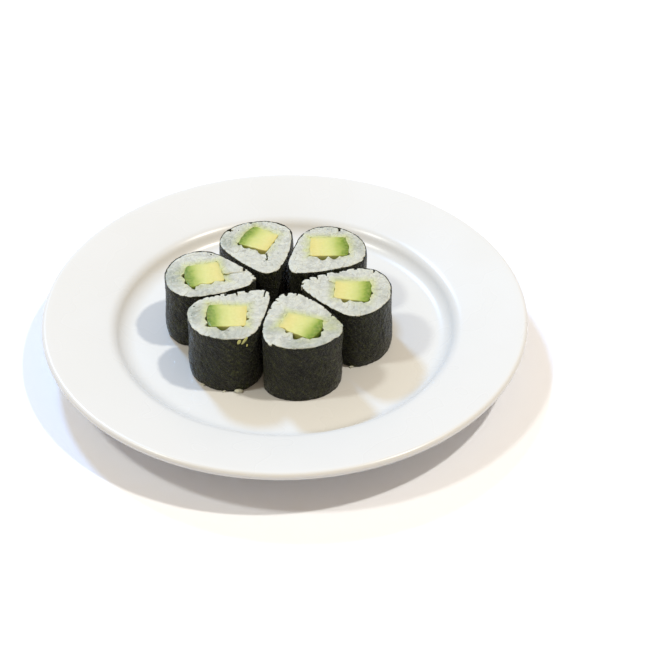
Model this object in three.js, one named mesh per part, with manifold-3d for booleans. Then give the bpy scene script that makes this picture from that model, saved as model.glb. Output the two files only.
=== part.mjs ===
// Avocado maki: six pieces of thin sushi roll standing on end in a ring on a rimmed porcelain plate.
// Millimetres, +Z up. The origin is on the table, under the middle of the plate.

import * as THREE from "three";
import { mergeVertices } from "three/addons/utils/BufferGeometryUtils.js";
import Module from "manifold-3d";

const wasm = await Module();
wasm.setup();

// ---------------------------------------------------------------- driving dimensions

// The plate: a flat well floor, a short steep wall and a wide rim that rises to a rounded lip.
const PLATE_RADIUS = 90;
const PLATE_HEIGHT = 18;
const PLATE_THICKNESS = 3; // of the rim, its lip and the floor outside the foot
const WALL_THICKNESS = 2.4; // of the wall between floor and rim, measured level
const RIM_SLOPE = THREE.MathUtils.degToRad(12.5);
const SHOULDER_RADIUS = 64; // where the rim turns down into the wall
const TOE_RADIUS = 60.3; // where the wall turns into the floor
const WELL_FLOOR = 7.2; // height of the floor above the table
const BASE_THICKNESS = 4.2;
// How much of each of its two runs a rounded corner takes up.
const SHOULDER_RUN = 1.2;
const TOE_RUN = 5;
const UNDERSIDE_RUN = 2.4;
const FOOT_RADIUS = 50;
const FOOT_WIDTH = 4;
const FOOT_DRAFT = 1; // how much wider the foot ring is at its root, on each side
const PLATE_SEGMENTS = 72;
const PROFILE_STEPS = 3; // chords in each rounding of the plate's profile

// The pieces of roll.
const ROLL_HEIGHT = 23.75; // a roll of 190 mm cut into eight
const NORI_THICKNESS = 0.4;
const CLEARANCE = 0.3; // between pieces that touch
const STAND_OFF = 0.1; // between the plate and what stands on it
const OUTLINE_STEPS = 36;
const SKIN_STEPS = 6; // chords in the rounding of the avocado's skin side

// The rice that shows at the cut.
const GRAIN_LENGTH = 5.8;
const GRAIN_WIDTH = 2.8;
const GRAIN_SPACING = 2.9; // least distance between the middles of two grains
const GRAINS_PER_PIECE = 36;
const GRAIN_TRIES = 6000; // places tried for the grains of one piece
const GRAIN_RELIEF = 0.7; // how far the packed rice lies below the cut
const GRAIN_TILT = 0.2; // largest tilt out of the cut, in radians
const GRAIN_SIDES = 6;
const GRAIN_BANDS = 4;

// Each piece is a teardrop: a wide head round its own origin and a narrow tip, `length` away along
// its +X. `x` and `y` place the head's middle on the plate, and `turn` is the tip's direction in
// degrees. `squash` makes the head wider than it is long, and `lean` skews it. The avocado's section
// has four corners in the piece's own axes, anticlockwise: two at the ends of its skin side, which
// is rounded out by `bulge`, and two on the side where the stone was.
const PIECES = [
  {
    name: "front_left",
    x: -21.2, y: -22.6, turn: 45.5,
    head: 13.2, tip: 1.4, length: 21.2, blend: 0.7, squash: 1.1, lean: -0.1,
    avocado: { skin: [[1.3, 9.2], [-7.2, -0.3]], stone: [[2.3, -9.2], [10.7, -0.8]], bulge: 1 },
  },
  {
    name: "front_right",
    x: 7.1, y: -30.2, turn: 105,
    head: 12.5, tip: 0.5, length: 24.4, blend: 2.1, squash: 2.1, lean: 0.1,
    avocado: { skin: [[-5.2, -1.1], [4, -8.5]], stone: [[11.8, 2.4], [4.3, 8.3]], bulge: 1.5 },
  },
  {
    name: "right",
    x: 27.6, y: -7.4, turn: 166,
    head: 13.2, tip: 0.7, length: 22.9, blend: 1.3, squash: 1.6, lean: 0.1,
    avocado: { skin: [[-4, 5.5], [-2.4, -6.7]], stone: [[10.3, -4.2], [8.5, 5.9]], bulge: 0.9 },
  },
  {
    name: "back_right",
    x: 17.8, y: 20.8, turn: -133.5,
    head: 13.1, tip: 0.7, length: 22.8, blend: 1.9, squash: 1.3, lean: 0.1,
    avocado: { skin: [[0.8, 8.1], [-7.2, -0.5]], stone: [[1.9, -10.3], [10.7, -1.9]], bulge: 1 },
  },
  {
    name: "back_left",
    x: -11.4, y: 25.7, turn: -74.5,
    head: 13, tip: 0.7, length: 23.9, blend: 1.6, squash: 1.5, lean: -0.2,
    avocado: { skin: [[-7.9, 1.5], [1.6, -7.2]], stone: [[9.2, 2], [0, 9]], bulge: 1.2 },
  },
  {
    name: "left",
    x: -32.4, y: 3.7, turn: -11,
    head: 13.2, tip: 1, length: 22.3, blend: 1.5, squash: 1.1, lean: 0.1,
    avocado: { skin: [[-5, 3.3], [0, -8.8]], stone: [[11.2, -2.3], [5.8, 8.6]], bulge: 1.6 },
  },
];
const SEED = 11;

const BASE = WELL_FLOOR + STAND_OFF;
const CUT = WELL_FLOOR + ROLL_HEIGHT;

// ---------------------------------------------------------------- materials

const MATERIALS = {
  plate: new THREE.MeshStandardMaterial({ color: "#f0f1ee", roughness: 0.12, metalness: 0 }),
  nori: new THREE.MeshStandardMaterial({ color: "#25271f", roughness: 0.6, metalness: 0 }),
  rice: new THREE.MeshStandardMaterial({ color: "#dde0d8", roughness: 0.5, metalness: 0 }),
  avocado: new THREE.MeshStandardMaterial({ color: "#dde58b", roughness: 0.45, metalness: 0 }),
};

// ---------------------------------------------------------------- solids

function toSolid(geometry) {
  const bare = geometry.clone();
  bare.deleteAttribute("normal");
  bare.deleteAttribute("uv");
  const merged = mergeVertices(bare);
  const mesh = new wasm.Mesh({
    numProp: 3,
    vertProperties: merged.attributes.position.array,
    triVerts: Uint32Array.from(merged.index.array),
  });
  return new wasm.Manifold(mesh);
}

function toGeometry(solid) {
  const { vertProperties, triVerts } = solid.getMesh();
  const geometry = new THREE.BufferGeometry();
  geometry.setAttribute("position", new THREE.BufferAttribute(vertProperties, 3));
  geometry.setIndex(new THREE.BufferAttribute(triVerts, 1));
  geometry.computeVertexNormals();
  return geometry;
}

// A straight-sided solid that stands on `shape` between two heights.
function standUp(shape, bottom, top) {
  const geometry = new THREE.ExtrudeGeometry(shape, {
    depth: top - bottom,
    bevelEnabled: false,
    curveSegments: 6,
  });
  geometry.translate(0, 0, bottom);
  return geometry;
}

function namedMesh(name, geometry, material) {
  const mesh = new THREE.Mesh(geometry, material);
  mesh.name = name;
  return mesh;
}

// ---------------------------------------------------------------- plate

// Draws on through `corner` towards `next`, rounding the corner off over `run` on each side.
function roundCorner(path, corner, next, run) {
  const start = path.currentPoint;
  const before = corner.clone().add(start.clone().sub(corner).setLength(run));
  const after = corner.clone().add(next.clone().sub(corner).setLength(run));
  path.lineTo(before.x, before.y);
  path.quadraticCurveTo(corner.x, corner.y, after.x, after.y);
}

// The profile in radius and height, from the axis under the base, round the lip and back.
function plateProfile() {
  const lipRadius = PLATE_THICKNESS / 2;
  const lip = new THREE.Vector2(PLATE_RADIUS - lipRadius, PLATE_HEIGHT - lipRadius);
  const across = new THREE.Vector2(-Math.sin(RIM_SLOPE), Math.cos(RIM_SLOPE)).multiplyScalar(lipRadius);
  const lipTop = lip.clone().add(across);
  const lipUnderside = lip.clone().sub(across);
  const rimHeight = (edge, radius) => edge.y - (edge.x - radius) * Math.tan(RIM_SLOPE);

  const underside = WELL_FLOOR - BASE_THICKNESS;
  const footInner = FOOT_RADIUS - FOOT_WIDTH;
  const shoulder = new THREE.Vector2(SHOULDER_RADIUS, rimHeight(lipTop, SHOULDER_RADIUS));
  const toe = new THREE.Vector2(TOE_RADIUS, WELL_FLOOR);
  const outerShoulderRadius = SHOULDER_RADIUS + WALL_THICKNESS;
  const outerShoulder = new THREE.Vector2(outerShoulderRadius, rimHeight(lipUnderside, outerShoulderRadius));
  const outerToe = new THREE.Vector2(TOE_RADIUS + WALL_THICKNESS, WELL_FLOOR - PLATE_THICKNESS);

  const path = new THREE.Path();
  path.moveTo(0, underside);
  path.lineTo(footInner - FOOT_DRAFT, underside);
  path.lineTo(footInner, 0);
  path.lineTo(FOOT_RADIUS, 0);
  path.lineTo(FOOT_RADIUS + FOOT_DRAFT, underside - FOOT_DRAFT);
  roundCorner(path, outerToe, outerShoulder, UNDERSIDE_RUN);
  roundCorner(path, outerShoulder, lipUnderside, UNDERSIDE_RUN);
  path.absarc(lip.x, lip.y, lipRadius, RIM_SLOPE - Math.PI / 2, RIM_SLOPE + Math.PI / 2, false);
  roundCorner(path, shoulder, toe, SHOULDER_RUN);
  roundCorner(path, toe, new THREE.Vector2(0, WELL_FLOOR), TOE_RUN);
  path.lineTo(0, WELL_FLOOR);
  return path.getPoints(PROFILE_STEPS);
}

function makePlate() {
  const geometry = new THREE.LatheGeometry(plateProfile(), PLATE_SEGMENTS);
  geometry.rotateX(Math.PI / 2);
  return namedMesh("plate", geometry, MATERIALS.plate);
}

// ---------------------------------------------------------------- outlines

// How far the tangent that faces `angle` lies from the piece's origin, and how fast that changes.
// The head's and the tip's circles blend into one outline, so flat flanks run between the two.
function tangentDistance(piece, angle) {
  const reach = piece.tip + piece.length * Math.cos(angle);
  const tipShare = 1 / (1 + Math.exp((piece.head - reach) / piece.blend));
  const blended = piece.head - piece.blend * Math.log(1 - tipShare);
  const skew = piece.lean * Math.sin(2 * angle) - piece.squash * Math.cos(2 * angle);
  const skewRate = 2 * piece.lean * Math.cos(2 * angle) + 2 * piece.squash * Math.sin(2 * angle);
  const rate = skewRate - tipShare * piece.length * Math.sin(angle);
  return { distance: blended + skew, rate };
}

// The teardrop's outline, drawn in by `inset` all round.
function teardropPoints(piece, inset) {
  const points = [];
  for (let step = 0; step < OUTLINE_STEPS; step++) {
    const angle = (2 * Math.PI * step) / OUTLINE_STEPS;
    const { distance, rate } = tangentDistance(piece, angle);
    const point = new THREE.Vector2(distance - inset, rate);
    points.push(point.rotateAround(new THREE.Vector2(), angle));
  }
  return points;
}

// The direction that faces out of an anticlockwise outline along its side between two points.
function outward(start, end) {
  return new THREE.Vector2(end.y - start.y, start.x - end.x).normalize();
}

// A convex outline that runs anticlockwise, let out by `margin` all round.
function letOut(points, margin) {
  return points.map((point, index) => {
    const before = outward(points.at(index - 1), point);
    const after = outward(point, points[(index + 1) % points.length]);
    return before.clone().add(after).multiplyScalar(margin / (1 + before.dot(after))).add(point);
  });
}

// The avocado's section, let out by `margin`.
function avocadoPoints(avocado, margin) {
  const [skinStart, skinEnd, stoneStart, stoneEnd] = [...avocado.skin, ...avocado.stone].map(
    (corner) => new THREE.Vector2(...corner),
  );
  const crown = skinStart.clone().lerp(skinEnd, 0.5);
  crown.addScaledVector(outward(skinStart, skinEnd), 2 * avocado.bulge);
  const shape = new THREE.Shape();
  shape.moveTo(skinStart.x, skinStart.y);
  shape.quadraticCurveTo(crown.x, crown.y, skinEnd.x, skinEnd.y);
  shape.lineTo(stoneStart.x, stoneStart.y);
  shape.lineTo(stoneEnd.x, stoneEnd.y);
  return letOut(shape.getPoints(SKIN_STEPS), margin);
}

// How far a point lies outside a convex outline that runs anticlockwise, negative inside it.
function distanceOutside(outline, point) {
  const distances = outline.map((corner, index) => {
    const side = outward(corner, outline[(index + 1) % outline.length]);
    return point.clone().sub(corner).dot(side);
  });
  return Math.max(...distances);
}

// ---------------------------------------------------------------- one piece of roll

function makeNori(piece) {
  const shape = new THREE.Shape(teardropPoints(piece, 0));
  shape.holes.push(new THREE.Path(teardropPoints(piece, NORI_THICKNESS)));
  return namedMesh(`nori_${piece.name}`, standUp(shape, BASE, CUT), MATERIALS.nori);
}

function makeAvocado(piece) {
  const shape = new THREE.Shape(avocadoPoints(piece.avocado, 0));
  return namedMesh(`avocado_${piece.name}`, standUp(shape, BASE, CUT), MATERIALS.avocado);
}

// Middles and directions for grains that lie wholly between the nori and the avocado.
function scatterGrains(outer, inner) {
  const halfWidth = GRAIN_WIDTH / 2;
  const tipOffset = (GRAIN_LENGTH - GRAIN_WIDTH) / 2;
  const reach = Math.max(...outer.map((point) => point.length()));
  const random = THREE.MathUtils.seededRandom;
  const isOnRice = (point) =>
    distanceOutside(outer, point) < -halfWidth && distanceOutside(inner, point) > halfWidth;
  const grains = [];
  for (let attempt = 0; attempt < GRAIN_TRIES && grains.length < GRAINS_PER_PIECE; attempt++) {
    const middle = new THREE.Vector2(random() * 2 - 1, random() * 2 - 1).multiplyScalar(reach);
    const direction = random() * Math.PI;
    const half = new THREE.Vector2(Math.cos(direction), Math.sin(direction)).multiplyScalar(tipOffset);
    const ends = [middle.clone().add(half), middle.clone().sub(half)];
    const isFree = grains.every((grain) => grain.middle.distanceTo(middle) > GRAIN_SPACING);
    if (isFree && isOnRice(middle) && ends.every(isOnRice)) {
      grains.push({ middle, direction, tilt: (random() * 2 - 1) * GRAIN_TILT });
    }
  }
  return grains;
}

function grainSolid({ middle, direction, tilt }) {
  const geometry = new THREE.SphereGeometry(0.5, GRAIN_SIDES, GRAIN_BANDS);
  geometry.rotateZ(Math.PI / 2);
  geometry.scale(GRAIN_LENGTH, GRAIN_WIDTH, GRAIN_WIDTH);
  geometry.rotateY(tilt);
  geometry.rotateZ(direction);
  geometry.translate(middle.x, middle.y, CUT - GRAIN_WIDTH / 2);
  return toSolid(geometry);
}

// Packed rice with a bore for the avocado, and the grains that show fused on its cut face.
function makeRice(piece) {
  const outer = teardropPoints(piece, NORI_THICKNESS + CLEARANCE);
  const inner = avocadoPoints(piece.avocado, CLEARANCE);
  const shape = new THREE.Shape(outer);
  shape.holes.push(new THREE.Path(inner));
  const core = toSolid(standUp(shape, BASE, CUT - GRAIN_RELIEF));
  const grains = scatterGrains(outer, inner).map(grainSolid);
  const solid = grains.reduce((joined, grain) => joined.add(grain), core);
  return namedMesh(`rice_${piece.name}`, toGeometry(solid), MATERIALS.rice);
}

function makePiece(piece) {
  const group = new THREE.Group();
  group.add(makeNori(piece), makeRice(piece), makeAvocado(piece));
  group.position.set(piece.x, piece.y, 0);
  group.rotation.z = THREE.MathUtils.degToRad(piece.turn);
  return group;
}

// ---------------------------------------------------------------- assembly

THREE.MathUtils.seededRandom(SEED);
const group = new THREE.Group();
group.add(makePlate(), ...PIECES.map(makePiece));

export default group;
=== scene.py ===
"""Dresses the plate of avocado maki: fine meshes, materials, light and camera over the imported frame.

Lengths are millimetres until a mesh is made, and the frame's own axes are used throughout: +Z up,
-Y towards the viewer. Every random draw is seeded, so each run gives the same scene.
"""

import math
from dataclasses import dataclass

import bmesh
import bpy
import numpy as np
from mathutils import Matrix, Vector, noise


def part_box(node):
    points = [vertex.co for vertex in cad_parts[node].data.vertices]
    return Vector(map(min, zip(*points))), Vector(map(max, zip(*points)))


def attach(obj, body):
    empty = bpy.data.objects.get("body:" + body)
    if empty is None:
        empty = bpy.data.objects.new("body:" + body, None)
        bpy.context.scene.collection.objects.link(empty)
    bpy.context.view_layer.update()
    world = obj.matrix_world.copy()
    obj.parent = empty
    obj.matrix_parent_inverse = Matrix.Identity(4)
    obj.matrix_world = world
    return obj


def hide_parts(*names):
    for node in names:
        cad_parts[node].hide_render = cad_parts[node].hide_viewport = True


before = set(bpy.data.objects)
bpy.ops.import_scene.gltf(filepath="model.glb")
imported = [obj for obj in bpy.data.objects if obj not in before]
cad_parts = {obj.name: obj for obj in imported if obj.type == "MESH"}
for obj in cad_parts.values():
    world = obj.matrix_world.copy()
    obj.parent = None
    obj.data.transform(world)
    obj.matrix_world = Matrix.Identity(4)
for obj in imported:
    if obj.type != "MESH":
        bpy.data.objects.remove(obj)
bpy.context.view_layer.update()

MM = 0.001
NOISE_SHIFT = (7.31, 3.77, 5.13)  # how far one seed's noise lies from the next
LEVEL_SLACK = 0.01  # points this close to a face count as on it
TINY = 1e-6

# ------------------------------------------------------------ camera, light and floor (mm, W)

PHOTO_WIDTH = 650
CAMERA_PLACE = (14.81, -469.09, 384.72)
CAMERA_TILT = math.radians(51.324)  # up from looking straight down
CAMERA_FOCUS = 1600.0  # focal length in pixels of the photograph
CAMERA_SENSOR = 36.0

LAMP_DISTANCE = 1500.0
# Each lamp: the way to it from the plate, its width, its power and its colour.
LAMPS = {
    "lamp_right": ((12, -1, 25), 95, 11.9, (1.0, 0.95, 0.85)),
    "lamp_left": ((-16, -3, 25), 170, 7.05, (0.99, 1.0, 0.93)),
    "lamp_back": ((-12, 20, 25), 200, 14.3, (0.35, 0.60, 1.0)),
}
SKY = (0.53, 0.425, 0.31)
FLOOR_COLOUR = (0.873, 0.897, 0.97)
FLOOR_WIDTH = 6000.0

# ------------------------------------------------------------ the plate

PLATE_RADIUS = 90.0
PLATE_HEIGHT = 18.0
LIP_RADIUS = 1.5
LIP_START = math.radians(-77.5)
LIP_END = math.radians(102.5)
RIM_SLOPE = math.radians(12.5)
SHOULDER_RADIUS = 64.0
TOE_RADIUS = 60.3
WELL_FLOOR = 7.2
SHOULDER_RUN = 2.4  # how much of each of its two runs a rounded corner takes up
TOE_RUN = 4.0
UNDERSIDE_RUN = 2.4
WALL_FOOT = (62.7, 4.2)  # where the underside turns up into the wall
WALL_HEAD = 66.4  # radius where the wall's underside turns out into the rim
FOOT = ((0.0, 3.0), (45.0, 3.0), (46.0, 0.0), (50.0, 0.0), (51.0, 2.0))
LATHE_STEPS = 288
CORNER_STEPS = 9
PROFILE_STEP = 2.0
LIP_STEPS = 14
# Each noise in this file has the size of its features, how far it goes to either side and a seed.
GLAZE_WAVE = (34.0, 0.035, 1)  # how the rim and well stray from a true turned surface
WAVE_FROM_FOOT = (0.5, 3.0)  # heights over which it begins above the foot
WAVE_TO_LIP = (89.0, 86.0)  # radii over which it ends before the lip
WAVE_FROM_MIDDLE = (52.0, 60.0)  # radii over which it begins, clear of the pieces

# ------------------------------------------------------------ the pieces

OUTLINE_FINE = 3600
OUTLINE_STEPS = 288
DIRECTIONS = 240

NORI_ROWS = 42
NORI_INNER_STEP = 3  # its hidden inner face has one row for this many outside
NORI_THICKNESS = 0.3
NORI_SINK = 0.3  # its outer face lies this far inside the outline, to leave room for ripples
SAG = 0.6  # how far the pieces bulge out low down
SAG_SIDES = (-0.1, 0.5)  # it starts where a side turns this far to the plate's rim, and is full
SAG_RISE = (0.7, 0.15)  # it starts this share of the way up, and is full
SAG_FOOT = (0.0, 0.1)  # and draws in again by half down here
TUCK_FADE = 1.5  # how quickly a narrower foot fades upward
NORI_LAP = 13.0  # how far the sheet's end laps over its start
NORI_LAP_STEP = 0.14
NORI_LAP_START = 0.2  # share of the girth from the tip
NORI_LAP_FADE = (1.0, 0.75)  # shares of the lap over which its step dies away
NORI_JAGS = ((1.1, 0.07, 5), (3.7, 0.08, 6))  # noise in its cut edge
NORI_LEAST_DROP = 0.02
NORI_FOOT = 0.06  # how far above the solid's foot its lower edge is
NORI_FOOT_JAGS = (2.2, 0.06, 7)
NORI_BULGES = (4.6, 0.24, 10)  # noise in its outer face, stretched upward
NORI_BULGE_STRETCH = (1, 1, 0.7)
NORI_CREASES = (2.3, 0.26, 30)
NORI_CREASE_STRETCH = (1, 1, 0.6)
NORI_CREASE_RISE = 0.08
NORI_CRINKLE = (0.85, 0.07, 50)
NORI_LEAST_SINK = 0.01
NORI_CURL = 0.12  # how far its cut edge curls in
NORI_CURL_FROM = 0.06  # share of the height over which it does
NORI_BELOW_CUT = 0.14  # its edge lies this far below the cut, on the sides away from the viewer
NORI_BELOW_CUT_FRONT = 0.3  # and on the viewer's side
NORI_FRONT = (-0.2, 0.4)  # how far a side turns to the viewer where that side begins, and is full
NORI_RAGGED_DROP = 0.55  # and where the rice stands over it
NORI_SPREAD_DROP = 0.5  # and where the rice is spread over it

RICE_MARGIN = 0.62  # from the outline to the rice, inside the nori
RICE_RAGGED_MARGIN = 0.06
RAGGED_SOFT = math.radians(7)  # over which a ragged stretch begins and ends
RAGGED_FROM = (1.0, 7.0)  # how far from the head's middle the ragged stretch starts, and is full
RICE_SPREAD_MARGIN = 0.05
SPREAD_SOFT = 9.0  # degrees over which a spread stretch begins and ends
LIP_BELOW_CUT = (0.48, 0.3)  # the spread rice lies over the nori above these depths
CORE_SPREAD = 0.32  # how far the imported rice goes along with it
RICE_BELOW_CUT = 0.06
CORE_DEPTH = 0.15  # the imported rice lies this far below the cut, between the grains
CORE_RINGS = 26
CORE_ROWS = 8
CORE_ROWS_UP = 1.6  # above 1, how far its rows gather at the top
CORE_OFF_AVOCADO = 0.1
CORE_SHY = 0.2  # how much further in than the grains it stays, near the top
CORE_SHY_RAGGED = 0.12  # and how much more where they stand out over the nori
CORE_SHY_BELOW = (6.0, 3.5)  # depths where that starts, and is full
CORE_LUMPS = (1.5, 0.06, 80)
CRACK_DEPTH = 2.4  # of the gaps between grains that show dark
CRACK_LEAD = 1.2  # how far a crack runs on outward from where it starts
GROOVE_SIDE = (0.5, 0.15)  # how far beside it the groove starts, and is full
GROOVE_REACH = 8.0  # how far down a crack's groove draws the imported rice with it
EDGE_FALL = 0.2  # how far the rice rounds off towards the nori
EDGE_FALL_REACH = (1.3, 0.2)  # how far inside the outline it starts to, and has
HALO_REACH = 3.3  # how far the avocado stains the rice
HALO_FADE = 1.2  # above 1, how soon that fades
HALO_IN_FRONT = 0.5  # how strongly it does so on the viewer's side
HALO_SIDES = (-0.6, 0.1)  # how far a side faces back where the strength starts to rise, and is full
BLOTCHES = (2.6, 1.0, 90)  # noise that stains and spots of painted shade end in, and how much of it each takes
HALO_BLOTCH = 0.5
STAIN_BLOTCH = 0.4
PAINTED_SHADE_BLOTCH = 0.8
SPOT_FULL = 0.2  # a stain or dull spot is full within this share of its radius
INNER_STAIN_BELOW = (0.7, 2.5)  # depths over which the rice beside the avocado becomes stained
INNER_STAIN_REACH = (4, 2)  # distances from the avocado over which it does
POCKET_SHAPE = 1.8  # above 1, how round the pockets beside the avocado are
POCKET_CATCH = 0.6  # they draw rice out from as far as this inside the avocado's side
POCKET_LEAST = 0.05  # where there is less room than this, they move nothing
SAME_SIDE = 0.6  # least cosine between the directions of edges that count as one side

GRAIN_HALF = (2.75, 1.28, 1.12)  # half length, width and thickness
GRAIN_AROUND = 18
GRAIN_ALONG = 11
GRAIN_BLUNT = 2.35  # above 2, the ends are blunter than an ellipse's
GRAIN_GAP = 2.0  # least distance between the middles of two grains
GRAIN_TRIES = 9000
GRAIN_INSIDE = 0.9  # least distance of its middle from the outline
GRAIN_OFF_AVOCADO = 0.5  # and from the avocado
GRAIN_VARIETY = 0.07  # how the grains' sizes vary
GRAIN_BEND = 0.16  # how they bend
GRAIN_PITCH = 0.24  # how they tilt
ON_END_SHARE = 0.16  # this share of them stands steeply, tilted this far
ON_END_PITCH = (0.9, 1.4)
GRAIN_SUNK = (0.1, 0.62)  # how far their middles lie below the cut
KNIFE_SLOPE = 0.014  # how the knife's cut through a grain slopes, and how deep it goes
KNIFE_DEPTH = (-0.08, 0.0)
KNIFE_SOFTNESS = 0.1
AIMED_GAP = 1.5  # least distance between two grains that point a certain way
# Grains that point out over the nori: the least raggedness there, how far they stop short of the
# outline, how far they swing to either side and the step from one to the next.
EDGE_RAGGED_LEAST = 0.5
EDGE_INSIDE = (-0.3, 0.2)
EDGE_SWING = 0.5
EDGE_STEP = (1.4, 3.9)
# Grains that point at the avocado: the sides that have them face back no more than this and are at
# least this long. Then where the first lies, the step, the gap to the avocado and the swing.
BESIDE_MOST_BACK = 0.1
BESIDE_LEAST_SIDE = 3
BESIDE_FIRST = (0.2, 1.2)
BESIDE_STEP = (1.9, 2.3)
BESIDE_AWAY = (0.15, 0.75)
BESIDE_SWING = 0.3
TOP_SEED, UNDERSIDE_SEED = 100, 200
CORE_TONE = 0.4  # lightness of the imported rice, where the grains' own run from 0 to 1

SKIN_STEPS = 13
AVOCADO_STEPS = 200
AVOCADO_RINGS = 14
AVOCADO_ROWS = 8
AVOCADO_EASING = 9  # passes that round the section's corners
AVOCADO_ROUNDING = 0.35
AVOCADO_BELOW_CUT = 0.05
AVOCADO_ROUNDING_STEPS = 7
AVOCADO_LUMPS = (3.4, 0.07, 120)  # noise in its cut face
AVOCADO_WAVER = (0.9, 0.2, 0)  # noise in its sides
AVOCADO_WAVER_RADIUS = 4  # of the circle that this noise is read round
PAINTED_SHADE_BELOW = (0.3, 2.2)  # depths over which shade is painted on its sides in the pockets, darker further down
PASTE_REACH = 2.0  # how far in from the avocado's edges rice is smeared over it
PASTE_SIDES = (0.0, 0.5)  # how far a side faces back where that starts, and is full
FRONT_CLEARANCE = 0.1  # from the avocado to the rice on the viewer's side
BACK_CLEARANCE = -0.45  # elsewhere the rice reaches over its edge
CLEARANCE_SIDES = (0.1, -0.3)  # how far a side faces back where the one passes into the other
CLEARANCE_NOISE = (1.3, 0.3, 85)


@dataclass(frozen=True)
class Strip:
    """The avocado's section in the piece's own axes: the ends of its skin side, which is rounded
    out by bulge, and those of the side where the stone was, anticlockwise."""

    skin: tuple
    stone: tuple
    bulge: float


@dataclass(frozen=True)
class Roll:
    """A piece from above: a round head that narrows to a tip, which points along its own +X.

    ragged is the stretch of outline, in degrees from the tip's direction, where grains stand out
    over the nori, on the tip's half of the piece. spreads are the stretches where the rice is
    pressed flat over the nori's edge: a start, an end and a share. cracks are the dark gaps between
    grains: each runs between two pixels of the photograph on the cut face, from the nori or the
    avocado inward, and has a half width. pockets are the gaps beside the avocado: a pixel, a half
    width and a depth, which is negative where the rice bites into the avocado. stains are where the
    rice takes the avocado's colour, and painted_shade_spots are where shade is painted on the rice,
    which makes it darker and greyer: a pixel, a radius and a strength.
    tuck is how much narrower the piece stands at its foot on one side: that side's direction on the
    plate, in degrees, and a depth.
    """

    name: str
    x: float
    y: float
    turn: float
    head: float
    tip: float
    length: float
    blend: float
    squash: float
    lean: float
    avocado: Strip
    ragged: tuple
    spreads: tuple
    cracks: tuple
    pockets: tuple
    stains: tuple
    painted_shade_spots: tuple
    tuck: tuple = (0, 0)


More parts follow.
